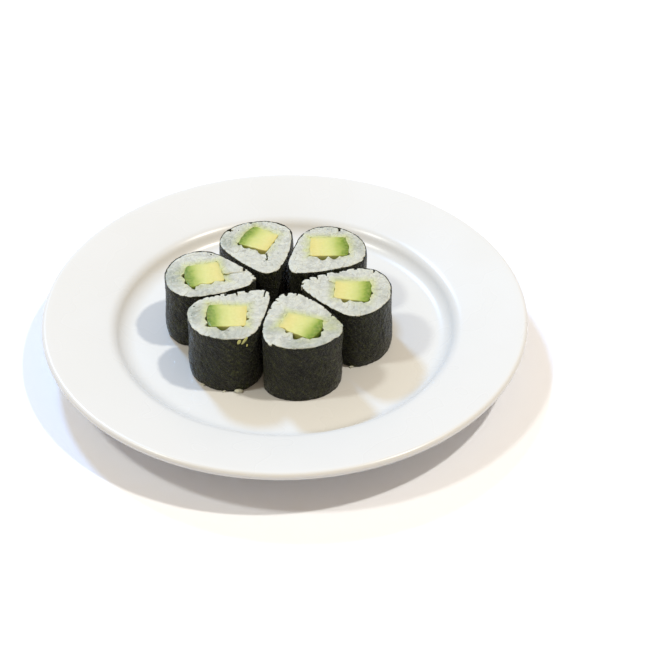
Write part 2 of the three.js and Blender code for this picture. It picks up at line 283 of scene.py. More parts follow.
ROLLS = (
    Roll(
        "front_left", -21.2, -22.6, 45.5, 13.2, 1.4, 21.2, 0.7, 1.1, -0.1,
        Strip(((1.3, 9.2), (-7.2, -0.3)), ((2.3, -9.2), (10.7, -0.8)), 1.0),
        ragged=(-12, 80),
        spreads=((75, 196, 1.0), (232, 316, 0.6)),
        cracks=(
            ((208.4, 293.6), (208.9, 296.8), 0.3), ((224.8, 293.4), (224.8, 296.1), 0.26),
            ((236.0, 290.6), (237.2, 295.4), 0.4), ((246.2, 289.2), (248.2, 292.8), 0.75),
            ((265.8, 289.8), (263.7, 296.2), 0.36), ((271.2, 305.4), (268.6, 306.8), 0.22),
            ((269.2, 311.4), (266.6, 312.4), 0.22), ((266.6, 316.6), (264.2, 317.4), 0.2),
        ),
        pockets=(
            ((205.6, 318.5), 1.6, 0.7), ((208, 324.8), 1.1, 1.4), ((223, 328.2), 2.5, 2.5),
            ((248.2, 311), 0.5, 0.6), ((248.4, 318.6), 0.9, 1.0), ((243, 326.8), 0.8, 0.8),
        ),
        stains=(((203, 313), 2.2, 0.35), ((212, 303), 2.6, 0.3)),
        painted_shade_spots=(((192, 313), 9.0, 1.0), ((222, 336), 9.0, 0.9), ((240, 333), 5.0, 0.6)),
    ),
    Roll(
        "front_right", 7.1, -30.2, 105, 12.5, 0.5, 24.4, 2.1, 2.1, 0.1,
        Strip(((-5.2, -1.1), (4.0, -8.5)), ((11.8, 2.4), (4.3, 8.3)), 1.5),
        ragged=(-62, 68),
        spreads=((62, 126, 0.8), (214, 290, 0.7)),
        cracks=(
            ((268.4, 305.2), (271.2, 306.8), 0.24), ((265.2, 313.0), (267.8, 314.0), 0.22),
            ((274.6, 299.0), (278.2, 301.6), 0.32), ((284.3, 291.2), (286.2, 296.6), 0.45),
            ((297.8, 291.8), (296.5, 295.9), 0.34), ((313.2, 297.2), (311.8, 300.2), 0.24),
            ((333.8, 310.6), (330.9, 316.6), 0.3),
        ),
        pockets=(
            ((281, 328.3), 2.0, -0.9), ((287, 331.6), 1.0, 1.3), ((296, 337), 2.1, 2.9),
            ((304, 338.5), 1.0, 0.5), ((317.5, 335), 2.4, 1.7), ((322.3, 330), 1.3, 1.1),
        ),
        stains=(
            ((331, 327), 3.8, 0.5), ((335, 319), 5.5, 0.35), ((280, 322), 2.0, 0.45),
            ((300, 341), 1.8, 0.3),
        ),
        painted_shade_spots=(
            ((336, 326), 8.0, 1.0), ((337, 319), 8.0, 1.0), ((300, 345), 8.0, 0.9),
            ((322, 340), 6.0, 0.9), ((270, 328), 6.0, 0.8),
        ),
        tuck=(0, 0.9),
    ),
    Roll(
        "right", 27.6, -7.4, 166, 13.2, 0.7, 22.9, 1.3, 1.6, 0.1,
        Strip(((-4.0, 5.5), (-2.4, -6.7)), ((10.3, -4.2), (8.5, 5.9)), 0.9),
        ragged=(-80, 22),
        spreads=((32, 126, 0.6), (166, 192, 0.5)),
        cracks=(
            ((309.2, 277.6), (310.6, 280.4), 0.24), ((316.4, 274.6), (317.6, 279.2), 0.36),
            ((325.9, 272.0), (326.7, 276.4), 0.36), ((336.6, 269.4), (338.6, 273.2), 0.85),
            ((374.0, 270.4), (374.6, 273.0), 0.3), ((390.0, 276.8), (388.0, 279.8), 0.3),
            ((333.5, 282.6), (328.2, 281.4), 0.14),
        ),
        pockets=(
            ((344.5, 301.5), 1.7, 2.3), ((355, 302), 2.6, 0.8), ((363.8, 302), 0.8, 1.0),
            ((371.5, 292.8), 1.1, 0.7), ((369, 299.5), 0.9, 0.5),
        ),
        stains=(((337, 299), 2.6, 0.45), ((366, 278), 2.2, 0.3)),
        painted_shade_spots=(((384, 292), 6.0, 0.35), ((360, 309), 7.0, 0.45)),
    ),
    Roll(
        "back_right", 17.8, 20.8, -133.5, 13.1, 0.7, 22.8, 1.9, 1.3, 0.1,
        Strip(((0.8, 8.1), (-7.2, -0.5)), ((1.9, -10.3), (10.7, -1.9)), 1.0),
        ragged=(0, 0),
        spreads=((-58, 30, 1.0), (64, 108, 0.7)),
        cracks=(
            ((307.6, 227.8), (308.8, 231.2), 0.3), ((339.8, 227.8), (339.2, 231.4), 0.4),
            ((358.8, 233.6), (357.2, 236.5), 0.3), ((366.0, 241.6), (363.4, 242.8), 0.3),
            ((368.2, 248.8), (365.8, 249.6), 0.3),
        ),
        pockets=(
            ((307, 256.5), 0.9, 0.8), ((315.5, 256), 1.2, 0.7), ((322.5, 257), 2.3, 3.0),
            ((334, 257), 2.2, 2.5), ((342, 256), 1.4, 0.7), ((347.6, 253.5), 0.9, 0.9),
        ),
        stains=(((306.5, 250), 2.6, 1.0), ((303, 243), 1.8, 0.45), ((338, 234.5), 2.6, 0.35)),
        painted_shade_spots=(((359, 244), 7.0, 0.65), ((330, 229), 6.0, 0.3)),
    ),
    Roll(
        "back_left", -11.4, 25.7, -74.5, 13, 0.7, 23.9, 1.6, 1.5, -0.2,
        Strip(((-7.9, 1.5), (1.6, -7.2)), ((9.2, 2.0), (0.0, 9.0)), 1.2),
        ragged=(0, 0),
        spreads=((32, 68, 1.0),),
        cracks=(
            ((227.6, 227.4), (233.2, 231.3), 0.42), ((249.6, 220.0), (249.5, 223.4), 0.45),
            ((256.2, 219.4), (256.1, 222.0), 0.3), ((286.0, 222.4), (283.8, 225.2), 0.3),
            ((293.8, 231.2), (291.0, 232.8), 0.36), ((266.2, 251.4), (267.6, 260.4), 0.32),
        ),
        pockets=(
            ((239.2, 244), 0.9, 1.1), ((246.2, 246.4), 2.3, 1.8), ((252.4, 248), 2.1, 1.4),
            ((258.2, 249.2), 1.7, 1.2), ((263.4, 250.4), 2.6, 2.8), ((277, 243), 1.0, 0.5),
        ),
        stains=(((237, 240), 2.4, 0.45), ((274, 248), 2.4, 0.4), ((245, 228), 2.6, 0.35)),
        painted_shade_spots=(((226, 241), 8.0, 0.9), ((256, 221), 5.0, 0.4)),
    ),
    Roll(
        "left", -32.4, 3.7, -11, 13.2, 1, 22.3, 1.5, 1.1, 0.1,
        Strip(((-5.0, 3.3), (0.0, -8.8)), ((11.2, -2.3), (5.8, 8.6)), 1.6),
        ragged=(-14, 26),
        spreads=((-150, -34, 1.0), (36, 58, 1.0)),
        cracks=(
            ((245.2, 265.2), (244.5, 271.6), 0.34), ((226.5, 273.8), (243.6, 271.8), 0.15),
            ((254.8, 278.8), (252.0, 279.6), 0.3), ((254.6, 273.6), (252.6, 275.2), 0.26),
        ),
        pockets=(
            ((181, 276), 1.5, 0.9), ((187, 282.5), 1.4, 1.0), ((193.4, 287), 0.9, 2.1),
            ((201, 284.5), 1.9, -1.0), ((210.5, 282.5), 0.8, 0.9), ((216, 281.5), 1.5, -0.8),
            ((224.6, 280.5), 0.9, 1.0),
        ),
        stains=(
            ((226, 275), 2.2, 0.9), ((229, 279), 1.6, 0.5), ((178, 273), 2.4, 0.45),
            ((200, 261), 2.8, 0.3),
        ),
        painted_shade_spots=(((171, 277), 10.0, 1.0), ((205, 292), 8.0, 0.5)),
    ),
)

# Flakes of nori on the rice: a pixel on the cut face and a half width.
FLAKES = (
    ((194.1, 306.3), 0.42), ((211.1, 254.4), 0.42), ((238.6, 230.2), 0.26),
    ((278, 253), 0.22), ((296.2, 253.2), 0.24), ((191.5, 315), 0.16),
)
# Crumbs of rice that came off: the piece, a pixel where one lies at its foot, a share of a whole
# grain and its direction in degrees.
CRUMBS = (
    ("front_left", (238.4, 389.6), 0.58, 6),
    ("front_left", (225.4, 388.0), 0.26, 40),
    ("front_left", (205.6, 382.4), 0.3, -30),
    ("right", (351.9, 364.6), 0.34, 20),
)
# Smears of avocado on the nori: the piece, a pixel and a half width, height and lean.
SMEARS = (
    ("front_left", (239.1, 342.2), 0.7, 0.95, 0.3),
    ("front_left", (244.8, 340.8), 0.75, 1.25, 0.75),
    ("front_left", (247.2, 345.6), 0.36, 0.6, 0.0),
)
# Bits of rice that hang over the nori's edge: the piece, a pixel and a half width.
OVERHANGS = (("front_right", (269.9, 344.2), 0.85),)

WALL_STEPS = 400
BLOB_LUMPS = (1.1, 0.22, 0)  # noise in the shape of all these, as a share of their size
FLAKE_WIDTH = 0.8  # share of its length
FLAKE_HALF_THICKNESS = 0.09
FLAKE_BELOW_CUT = 0.12
FLAKE_TURN = 1.3  # from one to the next
CRUMB_HALF = (2.75, 1.536, 1.12)  # half length, width and thickness of a whole grain's crumb
CRUMB_OFF = 0.6  # least distance of its middle from the piece, in half widths
CRUMB_LIFT = 0.9  # and from the plate, in half thicknesses
OVERHANG_SHAPE = (1, 0.6, 0.8)  # its half sizes beside its half width
SMEAR_HALF_THICKNESS = 0.2
SMEAR_SUNK = 0.1

# ------------------------------------------------------------ small helpers


def unit(angle):
    """Unit vectors at these angles, one row each."""
    return np.stack([np.cos(angle), np.sin(angle)], axis=-1)


def leftward(way):
    """The unit vector to the left of a way in the plane."""
    return np.array([-way[1], way[0]])


def beside(points, start, way):
    """How far points lie along a way from where it starts, and how far to its left."""
    return (points - start) @ way, (points - start) @ leftward(way)


def turned(points, angle):
    """Plane points turned about the origin."""
    cosine, sine = math.cos(angle), math.sin(angle)
    return points @ np.array([[cosine, sine], [-sine, cosine]])


def on_cut(pixel, height):
    """The point at this height that the camera shows at a pixel of the photograph."""
    middle = PHOTO_WIDTH / 2
    right = (pixel[0] - middle) / CAMERA_FOCUS
    up = (middle - pixel[1]) / CAMERA_FOCUS
    sine, cosine = math.sin(CAMERA_TILT), math.cos(CAMERA_TILT)
    ray = np.array([right, up * cosine + sine, up * sine - cosine])
    travel = (height - CAMERA_PLACE[2]) / ray[2]
    return np.array(CAMERA_PLACE[:2]) + travel * ray[:2]


def wander(points, kind, number=0):
    """Smooth noise at 3-D points, different for each number.

    kind is the size of its features, how far it goes to either side of 0 and a seed.
    """
    size, swing, seed = kind
    shift = Vector([(seed + number) * step for step in NOISE_SHIFT])
    return np.array([noise.noise(Vector(point) / size + shift) for point in points]) * swing


def heights(node):
    """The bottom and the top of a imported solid."""
    low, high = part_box(node)
    return low[2] / MM, high[2] / MM


def smoothstep(low, high, value):
    """0 below low, 1 above high and smooth between."""
    share = np.clip((value - low) / (high - low), 0, 1)
    return share * share * (3 - 2 * share)


def ring_faces(rows, columns):
    """Quads of a grid of points numbered row by row, whose columns close on themselves."""
    row, column = np.meshgrid(np.arange(rows - 1), np.arange(columns), indexing="ij")
    after = (column + 1) % columns
    corners = (
        row * columns + column,
        row * columns + after,
        (row + 1) * columns + after,
        (row + 1) * columns + column,
    )
    return np.stack(corners, axis=-1).reshape(-1, 4).tolist()


def closed_ring_faces(rows, columns):
    """The same where the last row also joins the first."""
    faces = ring_faces(rows + 1, columns)
    count = rows * columns
    return [[corner % count for corner in face] for face in faces]


def capped_faces(rows, columns):
    """The same where two more points, after the rings, close the first and the last ring by fans."""
    faces = ring_faces(rows, columns)
    end = (rows - 1) * columns
    first, last = rows * columns, rows * columns + 1
    for step in range(columns):
        after = (step + 1) % columns
        faces.append([first, after, step])
        faces.append([last, end + step, end + after])
    return faces


def joined(meshes):
    """The points and faces of one mesh made of several, each given as points and faces."""
    faces = []
    count = 0
    for points, own_faces in meshes:
        faces += [[corner + count for corner in face] for face in own_faces]
        count += len(points)
    return np.vstack([points for points, _ in meshes]), faces


def in_scene(name, data):
    """Adds an object to the scene."""
    made = bpy.data.objects.new(name, data)
    bpy.context.scene.collection.objects.link(made)
    return made


def add_piece(name, points, faces, material, nodes=(), marks=None):
    """Makes a smooth mesh object from points in millimetres, riding on the one body.

    marks holds per-point values that the material reads, by name.
    """
    mesh = bpy.data.meshes.new(name)
    mesh.from_pydata((np.asarray(points) * MM).tolist(), [], faces)
    edit = bmesh.new()
    edit.from_mesh(mesh)
    bmesh.ops.recalc_face_normals(edit, faces=edit.faces)
    edit.to_mesh(mesh)
    edit.free()
    for mark, values in (marks or {}).items():
        layer = mesh.attributes.new(mark, "FLOAT", "POINT")
        layer.data.foreach_set("value", np.asarray(values, dtype=np.float32))
    mesh.polygons.foreach_set("use_smooth", [True] * len(mesh.polygons))
    mesh.materials.append(material)
    piece = in_scene(name, mesh)
    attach(piece, "root")
    if nodes:
        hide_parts(*nodes)


# ------------------------------------------------------------ materials


MIX_COLOURS, MIX_RESULT = (6, 7), 2  # the sockets of a mix node that are for colours

GLAZE = ((0.648, 0.652, 0.635), (0.665, 0.67, 0.66))
CLAY = ((0.62, 0.6, 0.55), (0.72, 0.7, 0.66))
CLAY_ROUGHNESS = (0.6, 0.6, 0.6)
NORI_DARK = ((0.001, 0.0015, 0.0006), (0.003, 0.0045, 0.0015))
NORI_LIGHT = ((0.026, 0.034, 0.006), (0.074, 0.086, 0.014))
NORI_SPECK = (0.10, 0.108, 0.042)
RICE_MILK = ((0.475, 0.49, 0.425), (0.595, 0.60, 0.515))
# painted shade: the darker, greyer colour that the rice is given where it lies in shade
RICE_PAINTED_SHADE = (0.285, 0.31, 0.25)
RICE_STAIN = (0.47, 0.495, 0.205)
# The avocado's flesh by its share of the way from the stone's side to the skin.
FLESH = (
    (0.0, (0.56, 0.49, 0.17)), (0.2, (0.61, 0.56, 0.225)), (0.45, (0.565, 0.57, 0.22)),
    (0.6, (0.48, 0.515, 0.178)), (0.74, (0.30, 0.38, 0.075)), (0.83, (0.155, 0.25, 0.02)),
    (0.92, (0.10, 0.18, 0.01)), (1.0, (0.085, 0.155, 0.01)),
)
FLESH_CUT = (0.48, 0.46, 0.12)  # where the knife has torn it
FLESH_PAINTED_SHADE = ((0.36, 0.33, 0.025), (0.05, 0.09, 0.01))  # painted shade, tinted with the yellow of light bounced about in the gaps, on its sides down in the pockets, by the same share
PASTE = (0.47, 0.485, 0.21)


class Recipe:
    """A material under construction: a Principled shader and the nodes that feed it."""

    def __init__(self, name):
        self.material = bpy.data.materials.new(name)
        self.material.use_nodes = True
        self.tree = self.material.node_tree
        self.shader = self.tree.nodes["Principled BSDF"]
        self.place = self.node("ShaderNodeTexCoord").outputs["Object"]

    def node(self, kind, **values):
        """Adds a node, with its own settings and its inputs' values or links."""
        made = self.tree.nodes.new(kind)
        for key, value in values.items():
            self.put(made, key, value)
        return made

    def put(self, node, key, value):
        """Sets one input, or one setting, of a node."""
        if hasattr(node, key):
            setattr(node, key, value)
            return
        self.feed(node.inputs[key.replace("_", " ")], value)

    def feed(self, socket, value):
        """Links a socket to another node's output, or gives it a colour or a number."""
        if isinstance(value, bpy.types.NodeSocket):
            self.tree.links.new(value, socket)
        elif socket.type == "RGBA":
            socket.default_value = (*value, 1.0)
        else:
            socket.default_value = value

    def set(self, **values):
        """Sets inputs of the shader."""
        for key, value in values.items():
            self.put(self.shader, key, value)

    def noise(self, scale, detail=4.0, roughness=0.55, place=None, distortion=0.0):
        """Noise from 0 to 1, with this many features in a metre."""
        looks = {"Scale": scale, "Detail": detail, "Roughness": roughness, "Distortion": distortion}
        return self.node("ShaderNodeTexNoise", Vector=place or self.place, **looks).outputs["Fac"]

    def stretched(self, x, y, z, lean=0.0):
        """The object's coordinates turned about Y and then stretched along each axis."""
        leaning = self.node("ShaderNodeMapping", Vector=self.place, Rotation=(0.0, lean, 0.0))
        made = self.node("ShaderNodeMapping", Vector=leaning.outputs["Vector"], Scale=(x, y, z))
        return made.outputs["Vector"]

    def mark(self, name):
        """A per-point value of the mesh."""
        return self.node("ShaderNodeAttribute", attribute_name=name).outputs["Fac"]

    def ramp(self, value, *stops):
        """Colours, or greys given as one number, along a value."""
        made = self.node("ShaderNodeValToRGB", Fac=value)
        steps = made.color_ramp.elements
        while len(steps) < len(stops):
            steps.new(1.0)
        for step, (place, colour) in zip(steps, stops):
            step.position = place
            step.color = (*(colour if isinstance(colour, tuple) else (colour,) * 3), 1.0)
        return made.outputs["Color"]

    def mix(self, share, first, second, blend="MIX"):
        """Blends two colours."""
        made = self.node("ShaderNodeMix", data_type="RGBA", blend_type=blend, Factor=share)
        for index, colour in zip(MIX_COLOURS, (first, second)):
            self.feed(made.inputs[index], colour)
        return made.outputs[MIX_RESULT]

    def maths(self, operation, first, second=0.0):
        """A sum, product or other step on two values."""
        made = self.node("ShaderNodeMath", operation=operation)
        self.feed(made.inputs[0], first)
        self.feed(made.inputs[1], second)
        return made.outputs[0]

    def bump(self, height, depth, below=None):
        """A bump of this depth in metres, over another if given."""
        made = self.node("ShaderNodeBump", Height=height, Distance=depth)
        if below is not None:
            self.tree.links.new(below, made.inputs["Normal"])
        return made.outputs["Normal"]


def porcelain_material():
    """White glaze, slightly uneven, over a rough unglazed ring that the plate stands on."""
    recipe = Recipe("porcelain")
    height = recipe.node("ShaderNodeSeparateXYZ", Vector=recipe.place).outputs["Z"]
    glazed = recipe.ramp(recipe.maths("MULTIPLY", height, 1000.0), (0.12, 0.0), (0.4, 1.0))
    cloud = recipe.noise(38.0, detail=2.0)
    glaze = recipe.mix(cloud, *GLAZE)
    pits = recipe.noise(2600.0, detail=3.0)
    clay = recipe.mix(pits, *CLAY)
    recipe.set(
        Base_Color=recipe.mix(glazed, clay, glaze),
        Roughness=recipe.mix(glazed, CLAY_ROUGHNESS, recipe.ramp(cloud, (0.3, 0.24), (0.7, 0.3))),
        IOR=1.5,
        Specular_IOR_Level=0.36,
    )
    waves = recipe.bump(recipe.noise(60.0, detail=1.0), 0.00006)
    recipe.set(Normal=recipe.bump(recipe.noise(420.0, detail=2.0), 0.000008, waves))
    return recipe.material


def nori_material():
    """Toasted seaweed: near black, with green where it is thin, matted fibres and a soft sheen."""
    recipe = Recipe("nori")
    fibres = recipe.noise(
        560.0, detail=7.0, roughness=0.62, place=recipe.stretched(0.75, 0.75, 1.7), distortion=1.4
    )
    grit = recipe.noise(1500.0, detail=4.0, roughness=0.7, place=recipe.stretched(1.0, 1.0, 0.8))
    patches = recipe.noise(150.0, detail=3.0)
    dark = recipe.mix(patches, *NORI_DARK)
    light = recipe.mix(patches, *NORI_LIGHT)
    matted = recipe.ramp(recipe.maths("MULTIPLY", fibres, grit), (0.2, 0.0), (0.36, 1.0))
    streaks = recipe.noise(620.0, detail=4.0, place=recipe.stretched(1.5, 1.5, 0.24, lean=0.75))
    shade = recipe.maths("MULTIPLY", matted, recipe.ramp(streaks, (0.42, 0.0), (0.6, 1.0)))
    specks = recipe.ramp(
        recipe.noise(900.0, detail=3.0, place=recipe.stretched(0.8, 0.8, 2.0)), (0.6, 0.0), (0.72, 0.9)
    )
    recipe.set(
        Base_Color=recipe.mix(specks, recipe.mix(shade, dark, light), NORI_SPECK),
        Roughness=recipe.ramp(grit, (0.32, 0.16), (0.68, 0.44)),
        Specular_IOR_Level=0.28,
        Sheen_Weight=0.09,
        Sheen_Roughness=0.25,
    )
    cells = recipe.node(
        "ShaderNodeTexVoronoi", Vector=recipe.stretched(1.0, 1.0, 0.6), Scale=620.0
    ).outputs["Distance"]
    rough = recipe.bump(cells, 0.0005)
    rough = recipe.bump(streaks, 0.0015, rough)
    rough = recipe.bump(fibres, 0.0005, rough)
    recipe.set(Normal=recipe.bump(grit, 0.0006, rough))
    return recipe.material


def rice_material():
    """Cooked rice: milky, a little see-through, damp, stained beside the avocado, and darker and greyer
    where shade is painted on it.
    """
    recipe = Recipe("rice")
    mottle = recipe.noise(1900.0, detail=3.0, roughness=0.6)
    spread = recipe.ramp(mottle, (0.32, 0.0), (0.68, 1.0))
    milk = recipe.mix(spread, *RICE_MILK)
    grain = recipe.ramp(recipe.mark("tone"), (0.0, 0.95), (1.0, 1.0))
    toned = recipe.mix(1.0, milk, grain, blend="MULTIPLY")
    # Painted shade: spots where the rice is made darker and greyer, read from the painted_shade mark
    # and broken up by noise.
    patchy = recipe.ramp(recipe.noise(800.0, detail=3.0), (0.35, 0.35), (0.65, 1.0))
    painted_shade = recipe.maths("MULTIPLY", recipe.mark("painted_shade"), patchy)
    painted_shaded_rice = recipe.mix(painted_shade, toned, RICE_PAINTED_SHADE)
    stain_noise = recipe.ramp(recipe.noise(330.0, detail=3.0), (0.3, 0.75), (0.65, 1.0))
    stain = recipe.maths("MULTIPLY", recipe.mark("stain"), stain_noise)
    recipe.set(
        Base_Color=recipe.mix(stain, painted_shaded_rice, RICE_STAIN),
        Roughness=recipe.ramp(mottle, (0.3, 0.4), (0.7, 0.55)),
        Subsurface_Weight=0.3,
        Subsurface_Radius=(0.9, 0.87, 0.7),
        Subsurface_Scale=0.0004,
        IOR=1.38,
    )
    fine = recipe.bump(recipe.noise(1700.0, detail=4.0), 0.00004)
    recipe.set(Normal=recipe.bump(mottle, 0.00006, fine))
    return recipe.material


def avocado_material():
    """Ripe avocado: green under the peel, through lime, to butter yellow by the stone, with painted
    shade on its sides down in the pockets.
    """
    recipe = Recipe("avocado")
    drift = recipe.maths("SUBTRACT", recipe.noise(260.0, detail=3.0), 0.5)
    place = recipe.maths("ADD", recipe.mark("peel"), recipe.maths("MULTIPLY", drift, 0.22))
    flesh = recipe.ramp(place, *FLESH)
    cut = recipe.noise(900.0, detail=4.0)
    shaded = recipe.mix(recipe.ramp(cut, (0.35, 0.0), (0.65, 0.3)), flesh, FLESH_CUT)
    # Painted shade on the sides below the cut, which show only in the pockets: darker and more
    # saturated further down, read from the deep mark.
    painted_pocket_shade = recipe.mix(place, *FLESH_PAINTED_SHADE)
    deep = recipe.mix(recipe.mark("deep"), shaded, painted_pocket_shade)
    crumbs = recipe.ramp(recipe.noise(520.0, detail=4.0), (0.38, 0.65), (0.58, 1.0))
    not_skin = recipe.ramp(recipe.mark("peel"), (0.45, 1.0), (0.75, 0.0))
    paste = recipe.maths("MULTIPLY", recipe.maths("MULTIPLY", recipe.mark("paste"), crumbs), not_skin)
    pasted = recipe.mix(paste, deep, PASTE)
    recipe.set(
        Base_Color=pasted,
        Roughness=recipe.ramp(cut, (0.3, 0.34), (0.7, 0.5)),
        Subsurface_Weight=0.15,
        Subsurface_Radius=(1.0, 0.9, 0.3),
        Subsurface_Scale=0.0008,
        IOR=1.4,
    )
    recipe.set(Normal=recipe.bump(cut, 0.00005))
    return recipe.material


# ------------------------------------------------------------ plate


def arc(middle, radius, start, end, steps):
    """Points along an arc in the profile's plane."""
    angle = np.linspace(start, end, steps)
    return np.array(middle) + radius * unit(angle)


def rounded_corner(before, corner, after, run):
    """The arc that rounds the corner of a profile, over this much of each side."""
    before, corner, after = (np.array(point, dtype=float) for point in (before, corner, after))
    inward = (before - corner) / np.linalg.norm(before - corner)
    outward = (after - corner) / np.linalg.norm(after - corner)
    half = math.acos(np.clip(inward @ outward, -1, 1)) / 2
    radius = run * math.tan(half)
    share = np.linspace(0, 1, CORNER_STEPS)[:, None]
    start, end = corner + inward * run, corner + outward * run
    middle = corner + (inward + outward) / np.linalg.norm(inward + outward) * radius / math.sin(half)
    chord = start + (end - start) * share - middle
    return middle + chord / np.linalg.norm(chord, axis=1)[:, None] * radius


def plate_profile():
    """The plate's section from the axis underneath, round the lip and back over the well."""
    lip = (PLATE_RADIUS - LIP_RADIUS, PLATE_HEIGHT - LIP_RADIUS)
    edge = arc(lip, LIP_RADIUS, LIP_START, LIP_END, LIP_STEPS)

    def rim_top(radius):
        return edge[-1][1] - (edge[-1][0] - radius) * math.tan(RIM_SLOPE)

    def rim_underside(radius):
        return edge[0][1] - (edge[0][0] - radius) * math.tan(RIM_SLOPE)

    shoulder = (SHOULDER_RADIUS, rim_top(SHOULDER_RADIUS))
    toe = (TOE_RADIUS, WELL_FLOOR)
    wall_head = (WALL_HEAD, rim_underside(WALL_HEAD))
    return np.vstack(
        [
            np.array(FOOT),
            rounded_corner(FOOT[-1], WALL_FOOT, wall_head, UNDERSIDE_RUN),
            rounded_corner(WALL_FOOT, wall_head, edge[0], UNDERSIDE_RUN),
            edge,
            rounded_corner(edge[-1], shoulder, toe, SHOULDER_RUN),
            rounded_corner(shoulder, toe, (0, WELL_FLOOR), TOE_RUN),
            [(0.0, WELL_FLOOR)],
        ]
    )


def filled_in(profile, step):
    """The profile with points added so that none are further apart than this."""
    points = [profile[0]]
    for start, end in zip(profile[:-1], profile[1:]):
        count = max(1, math.ceil(np.linalg.norm(end - start) / step))
        points += [start + (end - start) * part / count for part in range(1, count + 1)]
    return np.array(points)


def make_plate(material):
    """The plate, turned finely, with the faint unevenness of glaze."""
    profile = filled_in(plate_profile(), PROFILE_STEP)
    rings = profile[1:-1]
    angle = np.linspace(0, 2 * math.pi, LATHE_STEPS, endpoint=False)
    across = rings[:, 0][:, None, None] * unit(angle)[None]
    height = np.repeat(rings[:, 1][:, None], LATHE_STEPS, axis=1)
    points = np.dstack([across, height]).reshape(-1, 3)
    radius = np.hypot(*points.T[:2])
    wave = wander(points, GLAZE_WAVE)
    standing = smoothstep(*WAVE_FROM_FOOT, points[:, 2]) * smoothstep(*WAVE_TO_LIP, radius)
    points[:, 2] += wave * standing * smoothstep(*WAVE_FROM_MIDDLE, radius)
    faces = capped_faces(len(rings), LATHE_STEPS)
    poles = np.array([[0, 0, profile[0][1]], [0, 0, profile[-1][1]]])
    add_piece("plate_glazed", np.vstack([points, poles]), faces, material, ["plate"])


# ------------------------------------------------------------ outlines of a piece


class Hull:
    """A convex outline, by the lines along it: the way out of each and its offset from a pivot."""

    def __init__(self, pivot, sides, offsets):
        self.pivot = pivot
        self.sides = sides
        self.offsets = offsets

    def gap(self, points):
        """How far outside points lie (below 0 is inside), and which line they are nearest."""
        gaps = (points - self.pivot) @ self.sides.T - self.offsets[None]
        nearest = gaps.argmax(axis=1)
        return gaps[np.arange(len(points)), nearest], nearest

    def reach(self, start, ways, margin=0.0):
        """How far the outline, grown by a margin, is from a point inside it, each way."""
        ahead = ways @ self.sides.T
        room = self.offsets - self.sides @ (start - self.pivot) + margin
        return np.where(ahead > TINY, room[None] / np.maximum(ahead, TINY), np.inf).min(axis=1)


class Outline(Hull):
    """A piece's outline, with points along it by length."""

    def __init__(self, roll):
        middle = np.array([roll.x, roll.y])
        turn = math.radians(roll.turn)
        angle = np.linspace(0, 2 * math.pi, OUTLINE_FINE + 1)
        distance, rate = self.tangents(roll, angle)
        curve = distance[:, None] * unit(angle) + rate[:, None] * unit(angle + math.pi / 2)
        length = np.concatenate([[0], np.cumsum(np.linalg.norm(np.diff(curve, axis=0), axis=1))])
        self.girth = length[-1]
        self.place = np.linspace(0, self.girth, OUTLINE_STEPS, endpoint=False)
        self.angle = np.interp(self.place, length, angle)
        local = np.stack([np.interp(self.place, length, curve[:, axis]) for axis in (0, 1)], axis=1)
        self.points = turned(local, turn) + middle
        self.normals = unit(self.angle + turn)
        self.facing = angle[:: OUTLINE_FINE // DIRECTIONS][:-1]
        super().__init__(middle, unit(self.facing + turn), distance[:: OUTLINE_FINE // DIRECTIONS][:-1])

    @staticmethod
    def tangents(roll, angle):
        """How far the tangent in each direction lies from the middle, and how fast that changes."""
        reach = roll.tip + roll.length * np.cos(angle)
        tip_share = 1 / (1 + np.exp((roll.head - reach) / roll.blend))
        blended = roll.head - roll.blend * np.log(1 - tip_share)
        skew = roll.lean * np.sin(2 * angle) - roll.squash * np.cos(2 * angle)
        skew_rate = 2 * roll.lean * np.cos(2 * angle) + 2 * roll.squash * np.sin(2 * angle)
        return blended + skew, skew_rate - tip_share * roll.length * np.sin(angle)

    def depth(self, points):
        """How far inside the outline points lie, and the index of the direction they are nearest."""
        gap, nearest = self.gap(points)
        return -gap, nearest


class StripOutline(Hull):
    """The avocado's outline in a piece, in the plate's frame."""

    def __init__(self, roll):
        skin, stone = (np.array(side, dtype=float) for side in (roll.avocado.skin, roll.avocado.stone))
        along = (skin[1] - skin[0]) / np.linalg.norm(skin[1] - skin[0])
        outward = -leftward(along)
        crown = skin.mean(axis=0) + outward * 2 * roll.avocado.bulge
        share = np.linspace(0, 1, SKIN_STEPS)[:, None]
        curve = (1 - share) ** 2 * skin[0] + 2 * share * (1 - share) * crown + share**2 * skin[1]
        turn = math.radians(roll.turn)
        self.loop = turned(np.vstack([curve, stone]), turn) + np.array([roll.x, roll.y])
        self.middle = self.loop[[0, SKIN_STEPS - 1, -2, -1]].mean(axis=0)
        self.outward = turned(outward[None], turn)[0]
        edge = np.roll(self.loop, -1, axis=0) - self.loop
        length = np.linalg.norm(edge, axis=1)
        sides = np.stack([edge[:, 1], -edge[:, 0]], axis=1) / length[:, None]
        super().__init__(np.zeros(2), sides, (self.loop * sides).sum(axis=1))

    def peel(self, points):
        """How far points lie on the way from the stone's side, at 0, to the skin, at 1."""
        ends = self.loop @ self.outward
        return np.clip((points @ self.outward - ends.min()) / (ends.max() - ends.min()), 0, 1)


@dataclass(frozen=True)
class Pocket:
    """A gap beside the avocado, or a bite into it where deep is below 0."""

    place: np.ndarray
    outward: np.ndarray
    half_width: float
    deep: float

    def room(self, points):
        """How far out points lie from the avocado's side, and how far the pocket reaches there."""
        out, along = beside(points, self.place, self.outward)
        return out, self.deep * np.clip(1 - np.abs(along / self.half_width) ** POCKET_SHAPE, 0, 1)


